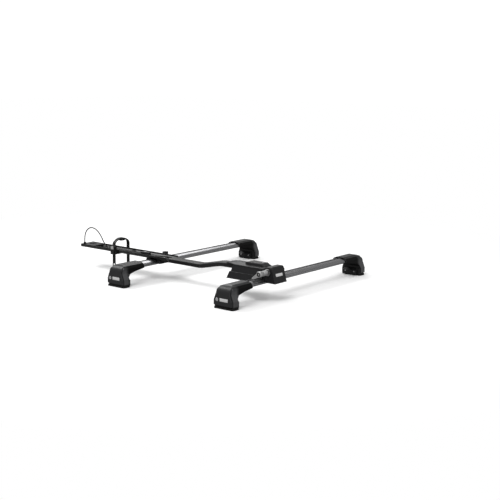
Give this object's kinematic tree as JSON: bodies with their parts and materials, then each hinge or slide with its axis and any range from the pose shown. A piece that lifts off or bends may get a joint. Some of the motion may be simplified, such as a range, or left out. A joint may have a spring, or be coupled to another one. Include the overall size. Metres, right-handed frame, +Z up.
{
  "type": "roof mounted bike carrier",
  "caption": "Fork-mount bicycle carrier with wheel tray on two roof load bars with lockable feet.",
  "frame": {"origin": "on the level of the feet's undersides, midway along the carrier's length and midway between the feet", "axes": "+X towards the fork head, +Y across to the far side, +Z up"},
  "size_m": [1.335, 1.114, 0.2224],
  "materials": {
    "bar_alloy": "satin anodised",
    "black_rubber": "matte",
    "foot_plastic": "fine grain",
    "black_casting": "matte",
    "foot_rubber": "matte",
    "lock_chrome": "polished",
    "clamp_steel": "satin",
    "zinc_steel": "zinc plated",
    "housing_plastic": "fine grain",
    "cover_plastic": "fine grain",
    "skewer_steel": "satin",
    "lever_metal": "satin",
    "knob_plastic": "grained",
    "black_alloy": "black powder coat",
    "strap_plastic": "satin",
    "cable_sheath": "smooth sheath",
    "lock_body_plastic": "satin"
  },
  "bodies": {
    "rack": {"front_bar": "bar_alloy", "rear_bar": "bar_alloy", "front_bar_strip": "black_rubber", "rear_bar_strip": "black_rubber", "front_near_foot_body": "black_casting", "front_far_foot_body": "black_casting", "rear_near_foot_body": "black_casting", "rear_far_foot_body": "black_casting", "front_near_foot_pad": "foot_rubber", "front_far_foot_pad": "foot_rubber", "rear_near_foot_pad": "foot_rubber", "rear_far_foot_pad": "foot_rubber", "rail_clamps": "clamp_steel", "foot_clamp_bolts": "zinc_steel"},
    "carrier": {"base_housing": "housing_plastic", "base_saddle_pad": "black_rubber", "front_t_bolts": "zinc_steel", "front_t_bolt_nuts": "zinc_steel", "top_cover": "cover_plastic", "lock_lid_pin": "zinc_steel", "head_block": "housing_plastic", "near_dropout_seat": "skewer_steel", "far_dropout_seat": "skewer_steel", "frame_tube": "black_alloy", "tray_tongue": "black_casting", "tray_rivets": "zinc_steel", "wheel_tray": "black_alloy", "tray_end_cap": "housing_plastic", "rear_bracket": "housing_plastic", "rear_saddle_pad": "black_rubber", "rear_t_bolt": "zinc_steel", "cable_gland": "cable_sheath", "lock_cable_reach": "cable_sheath", "lock_cable_loop": "cable_sheath", "cable_lock_body": "lock_body_plastic", "cable_ferrule": "skewer_steel"},
    "lid": {"lock_lid": "cover_plastic"},
    "lid_lock": {"lock_lid_cylinder": "lock_chrome"},
    "barrel": {"lever_barrel": "lever_metal"},
    "skewer": {"skewer_rod": "skewer_steel"},
    "lever": {"cam_lever": "lever_metal", "cam_lever_pin": "zinc_steel"},
    "lever_lock": {"cam_lever_lock": "lock_chrome"},
    "adjusting_nut": {"adjusting_nut": "knob_plastic"},
    "rear_knob": {"rear_knob": "knob_plastic"},
    "strap": {"strap_carriage": "housing_plastic", "wheel_strap": "strap_plastic", "rim_pad": "black_rubber", "buckle_base": "strap_plastic", "buckle_pin": "zinc_steel"},
    "latch": {"buckle_latch": "strap_plastic"},
    "cable_lock": {"cable_lock_cylinder": "lock_chrome"},
    "front_near_cover": {"front_near_foot_cover": "foot_plastic"},
    "front_near_lock": {"front_near_foot_lock": "lock_chrome"},
    "front_far_cover": {"front_far_foot_cover": "foot_plastic"},
    "front_far_lock": {"front_far_foot_lock": "lock_chrome"},
    "rear_near_cover": {"rear_near_foot_cover": "foot_plastic"},
    "rear_near_lock": {"rear_near_foot_lock": "lock_chrome"},
    "rear_far_cover": {"rear_far_foot_cover": "foot_plastic"},
    "rear_far_lock": {"rear_far_foot_lock": "lock_chrome"}
  },
  "joints": [
    {"name": "carrier_slide", "type": "slide", "parent": "rack", "child": "carrier", "axis": [0, 1, 0], "range_m": [-0.04, 0.54]},
    {"name": "lid_hinge", "type": "hinge", "parent": "carrier", "child": "lid", "pos_m": [0.4775, -0.245, 0.164], "axis": [0, -1, 0], "range_deg": [0, 95]},
    {"name": "lid_lock_turn", "type": "hinge", "parent": "lid", "child": "lid_lock", "pos_m": [0.5585, -0.245, 0.165], "axis": [0, 0, 1], "range_deg": [0, 90]},
    {"name": "lever_turn", "type": "hinge", "parent": "carrier", "child": "barrel", "pos_m": [0.6205, -0.245, 0.139], "axis": [0, 1, 0], "range_deg": [0, 175]},
    {"name": "skewer_draw", "type": "slide", "parent": "barrel", "child": "skewer", "axis": [0, 1, 0], "range_m": [0, 0.003]},
    {"name": "cam_swing", "type": "hinge", "parent": "skewer", "child": "lever", "pos_m": [0.6205, -0.3468, 0.139], "axis": [-0.5225, 0, 0.8526], "range_deg": [0, 90]},
    {"name": "lever_lock_turn", "type": "hinge", "parent": "lever", "child": "lever_lock", "pos_m": [0.6205, -0.355, 0.139], "axis": [0, 1, 0], "range_deg": [0, 90]},
    {"name": "adjusting_nut_turn", "type": "hinge", "parent": "skewer", "child": "adjusting_nut", "pos_m": [0.6205, -0.18, 0.139], "axis": [0, 1, 0], "continuous": true},
    {"name": "rear_knob_turn", "type": "hinge", "parent": "carrier", "child": "rear_knob", "pos_m": [-0.1395, -0.18, 0.12], "axis": [0, 0, 1], "continuous": true},
    {"name": "strap_slide", "type": "slide", "parent": "carrier", "child": "strap", "axis": [1, 0, 0], "range_m": [-0.09, 0.1]},
    {"name": "buckle_latch_swing", "type": "hinge", "parent": "strap", "child": "latch", "pos_m": [-0.4025, -0.30715, 0.143], "axis": [-1, 0, 0], "range_deg": [0, 110]},
    {"name": "cable_lock_turn", "type": "hinge", "parent": "carrier", "child": "cable_lock", "pos_m": [-0.2075, -0.259, 0.128], "axis": [0, 0, 1], "range_deg": [0, 90]},
    {"name": "front_near_cover_slide", "type": "slide", "parent": "rack", "child": "front_near_cover", "axis": [0, -1, 0], "range_m": [0, 0.08]},
    {"name": "front_near_lock_turn", "type": "hinge", "parent": "front_near_cover", "child": "front_near_lock", "pos_m": [0.5345, -0.549, 0.043], "axis": [0, 1, 0], "range_deg": [0, 90]},
    {"name": "front_far_cover_slide", "type": "slide", "parent": "rack", "child": "front_far_cover", "axis": [0, 1, 0], "range_m": [0, 0.08]},
    {"name": "front_far_lock_turn", "type": "hinge", "parent": "front_far_cover", "child": "front_far_lock", "pos_m": [0.6065, 0.549, 0.043], "axis": [0, 1, 0], "range_deg": [0, 90]},
    {"name": "rear_near_cover_slide", "type": "slide", "parent": "rack", "child": "rear_near_cover", "axis": [0, -1, 0], "range_m": [0, 0.08]},
    {"name": "rear_near_lock_turn", "type": "hinge", "parent": "rear_near_cover", "child": "rear_near_lock", "pos_m": [-0.1755, -0.538, 0.043], "axis": [0, 1, 0], "range_deg": [0, 90]},
    {"name": "rear_far_cover_slide", "type": "slide", "parent": "rack", "child": "rear_far_cover", "axis": [0, 1, 0], "range_m": [0, 0.08]},
    {"name": "rear_far_lock_turn", "type": "hinge", "parent": "rear_far_cover", "child": "rear_far_lock", "pos_m": [-0.1035, 0.538, 0.043], "axis": [0, 1, 0], "range_deg": [0, 90]}
  ],
  "couplings": [
    {"joint": "skewer_draw", "follows": "cam_swing", "m_per_rad": 0.0019099}
  ]
}
